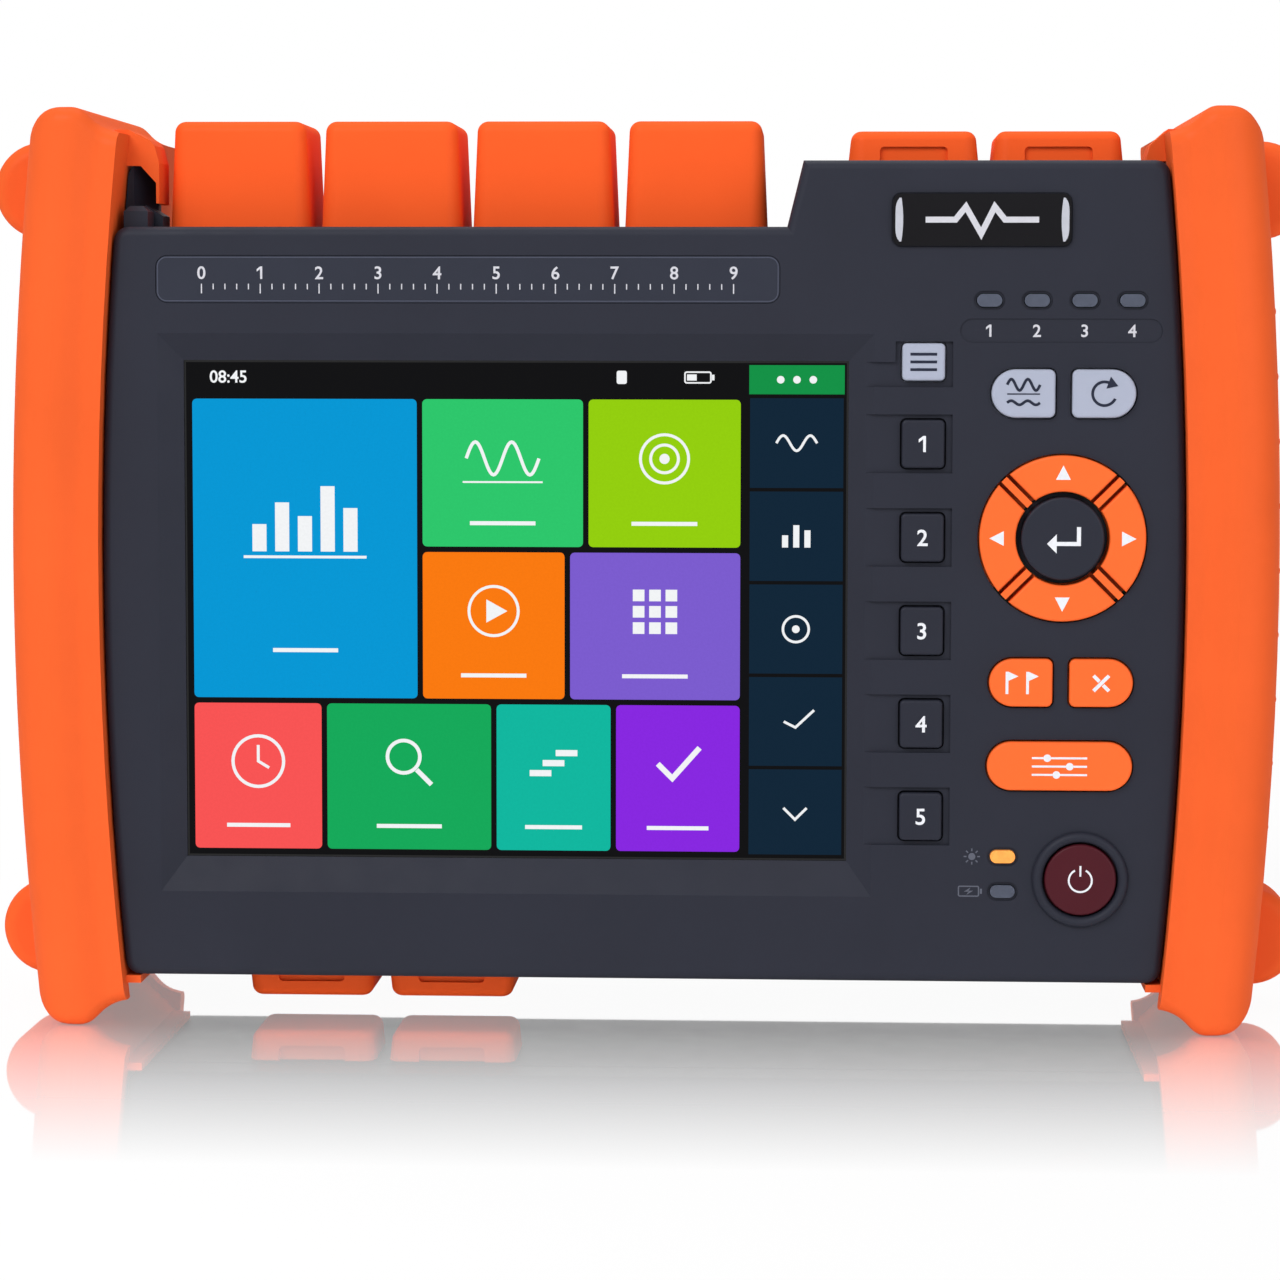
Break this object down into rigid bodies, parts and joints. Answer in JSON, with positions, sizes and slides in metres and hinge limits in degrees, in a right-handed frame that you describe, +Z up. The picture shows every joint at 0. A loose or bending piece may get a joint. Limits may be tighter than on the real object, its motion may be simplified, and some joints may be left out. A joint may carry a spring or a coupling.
{
  "type": "optical time domain reflectometer",
  "caption": "Handheld optical fibre tester with a touch screen, key field, rubber side bumpers, hinged port covers and a folding bail stand.",
  "frame": {"origin": "middle of the bottom of the bounding box, on the surface that the bumpers stand on", "axes": "+X to the right seen from the screen side, +Y from the screen to the back, +Z up"},
  "size_m": [0.2664, 0.0736, 0.182],
  "materials": {
    "case_plastic": "fine matt texture",
    "bumper_rubber": "satin moulded rubber",
    "cover_rubber": "satin moulded rubber",
    "seal_rubber": "matt",
    "window_glass": "clear hard-coated window over the display",
    "display_frame": "satin",
    "label_film": "satin film",
    "badge_gloss": "domed gloss",
    "light_diffuser": "frosted",
    "on_light": "frosted",
    "dark_key": "satin rubber key",
    "light_key": "satin rubber key",
    "orange_key": "satin rubber key",
    "power_key_red": "gloss",
    "circuit_board": "solder mask",
    "module_metal": "brushed",
    "battery_wrap": "shrink wrap",
    "pin_steel": "ground",
    "screw_steel": "zinc plated",
    "port_nickel": "nickel plated",
    "socket_plastic": "matt"
  },
  "bodies": {
    "case": {"front_housing": "case_plastic", "rear_housing": "case_plastic", "battery_door": "case_plastic", "left_bumper": "bumper_rubber", "right_bumper": "bumper_rubber", "housing_gasket": "seal_rubber", "touch_window": "window_glass", "lcd_module": "display_frame", "title_plate": "label_film", "badge_plate": "badge_gloss", "status_light_pipes": "light_diffuser", "charge_light_pipe": "light_diffuser", "on_light_pipe": "on_light", "dpad_web": "orange_key", "keypad_board": "circuit_board", "main_board": "circuit_board", "optical_module": "module_metal", "battery_pack": "battery_wrap", "bail_pins": "pin_steel", "port_cap_pins": "pin_steel", "flap_pins": "pin_steel", "housing_screws": "screw_steel", "door_screws": "screw_steel", "otdr_port": "port_nickel", "source_port": "port_nickel", "locator_port": "port_nickel", "meter_port": "port_nickel", "usb_socket": "socket_plastic", "power_socket": "socket_plastic", "network_socket": "socket_plastic", "tracker_socket": "socket_plastic"},
    "soft_key_1": {"soft_key_1": "dark_key"},
    "soft_key_2": {"soft_key_2": "dark_key"},
    "soft_key_3": {"soft_key_3": "dark_key"},
    "soft_key_4": {"soft_key_4": "dark_key"},
    "soft_key_5": {"soft_key_5": "dark_key"},
    "menu_key": {"menu_key": "light_key"},
    "average_key": {"average_key": "light_key"},
    "auto_key": {"auto_key": "light_key"},
    "up_key": {"up_key": "orange_key"},
    "down_key": {"down_key": "orange_key"},
    "left_key": {"left_key": "orange_key"},
    "right_key": {"right_key": "orange_key"},
    "enter_key": {"enter_key": "dark_key"},
    "marker_key": {"marker_key": "orange_key"},
    "escape_key": {"escape_key": "orange_key"},
    "setup_key": {"setup_key": "orange_key"},
    "power_key": {"power_key": "power_key_red"},
    "port_cap_1": {"port_cap_1": "cover_rubber"},
    "port_cap_2": {"port_cap_2": "cover_rubber"},
    "port_cap_3": {"port_cap_3": "cover_rubber"},
    "port_cap_4": {"port_cap_4": "cover_rubber"},
    "usb_flap": {"usb_flap": "cover_rubber"},
    "power_flap": {"power_flap": "cover_rubber"},
    "network_flap": {"network_flap": "cover_rubber"},
    "tracker_flap": {"tracker_flap": "cover_rubber"},
    "bail_stand": {"bail_stand": "case_plastic"}
  },
  "joints": [
    {"name": "soft_key_1_press", "type": "slide", "parent": "case", "child": "soft_key_1", "axis": [0, 1, 0], "range_m": [0, 0.0008], "stiffness_N_per_m": 1500},
    {"name": "soft_key_2_press", "type": "slide", "parent": "case", "child": "soft_key_2", "axis": [0, 1, 0], "range_m": [0, 0.0008], "stiffness_N_per_m": 1500},
    {"name": "soft_key_3_press", "type": "slide", "parent": "case", "child": "soft_key_3", "axis": [0, 1, 0], "range_m": [0, 0.0008], "stiffness_N_per_m": 1500},
    {"name": "soft_key_4_press", "type": "slide", "parent": "case", "child": "soft_key_4", "axis": [0, 1, 0], "range_m": [0, 0.0008], "stiffness_N_per_m": 1500},
    {"name": "soft_key_5_press", "type": "slide", "parent": "case", "child": "soft_key_5", "axis": [0, 1, 0], "range_m": [0, 0.0008], "stiffness_N_per_m": 1500},
    {"name": "menu_key_press", "type": "slide", "parent": "case", "child": "menu_key", "axis": [0, 1, 0], "range_m": [0, 0.0008], "stiffness_N_per_m": 1500},
    {"name": "average_key_press", "type": "slide", "parent": "case", "child": "average_key", "axis": [0, 1, 0], "range_m": [0, 0.0008], "stiffness_N_per_m": 1500},
    {"name": "auto_key_press", "type": "slide", "parent": "case", "child": "auto_key", "axis": [0, 1, 0], "range_m": [0, 0.0008], "stiffness_N_per_m": 1500},
    {"name": "up_key_press", "type": "slide", "parent": "case", "child": "up_key", "axis": [0, 1, 0], "range_m": [0, 0.0008], "stiffness_N_per_m": 1500},
    {"name": "down_key_press", "type": "slide", "parent": "case", "child": "down_key", "axis": [0, 1, 0], "range_m": [0, 0.0008], "stiffness_N_per_m": 1500},
    {"name": "left_key_press", "type": "slide", "parent": "case", "child": "left_key", "axis": [0, 1, 0], "range_m": [0, 0.0008], "stiffness_N_per_m": 1500},
    {"name": "right_key_press", "type": "slide", "parent": "case", "child": "right_key", "axis": [0, 1, 0], "range_m": [0, 0.0008], "stiffness_N_per_m": 1500},
    {"name": "enter_key_press", "type": "slide", "parent": "case", "child": "enter_key", "axis": [0, 1, 0], "range_m": [0, 0.0008], "stiffness_N_per_m": 1500},
    {"name": "marker_key_press", "type": "slide", "parent": "case", "child": "marker_key", "axis": [0, 1, 0], "range_m": [0, 0.0008], "stiffness_N_per_m": 1500},
    {"name": "escape_key_press", "type": "slide", "parent": "case", "child": "escape_key", "axis": [0, 1, 0], "range_m": [0, 0.0008], "stiffness_N_per_m": 1500},
    {"name": "setup_key_press", "type": "slide", "parent": "case", "child": "setup_key", "axis": [0, 1, 0], "range_m": [0, 0.0008], "stiffness_N_per_m": 1500},
    {"name": "power_key_press", "type": "slide", "parent": "case", "child": "power_key", "axis": [0, 1, 0], "range_m": [0, 0.0008], "stiffness_N_per_m": 1500},
    {"name": "port_cap_1_hinge", "type": "hinge", "parent": "case", "child": "port_cap_1", "pos_m": [-0.081, 0.0103, 0.1613], "axis": [-1, 0, 0], "range_deg": [0, 100]},
    {"name": "port_cap_2_hinge", "type": "hinge", "parent": "case", "child": "port_cap_2", "pos_m": [-0.0506, 0.0103, 0.1613], "axis": [-1, 0, 0], "range_deg": [0, 100]},
    {"name": "port_cap_3_hinge", "type": "hinge", "parent": "case", "child": "port_cap_3", "pos_m": [-0.0202, 0.0103, 0.1613], "axis": [-1, 0, 0], "range_deg": [0, 100]},
    {"name": "port_cap_4_hinge", "type": "hinge", "parent": "case", "child": "port_cap_4", "pos_m": [0.0102, 0.0103, 0.1613], "axis": [-1, 0, 0], "range_deg": [0, 100]},
    {"name": "usb_flap_hinge", "type": "hinge", "parent": "case", "child": "usb_flap", "pos_m": [0.05345, 0.0046, 0.1742], "axis": [-1, 0, 0], "range_deg": [0, 110]},
    {"name": "power_flap_hinge", "type": "hinge", "parent": "case", "child": "power_flap", "pos_m": [0.082, 0.0046, 0.1742], "axis": [-1, 0, 0], "range_deg": [0, 110]},
    {"name": "network_flap_hinge", "type": "hinge", "parent": "case", "child": "network_flap", "pos_m": [-0.0673, 0.0046, 0.0073], "axis": [1, 0, 0], "range_deg": [0, 110]},
    {"name": "tracker_flap_hinge", "type": "hinge", "parent": "case", "child": "tracker_flap", "pos_m": [-0.0388, 0.0046, 0.0073], "axis": [1, 0, 0], "range_deg": [0, 110]},
    {"name": "bail_stand_hinge", "type": "hinge", "parent": "case", "child": "bail_stand", "pos_m": [0, 0.0308, 0.128], "axis": [1, 0, 0], "range_deg": [0, 40]}
  ]
}
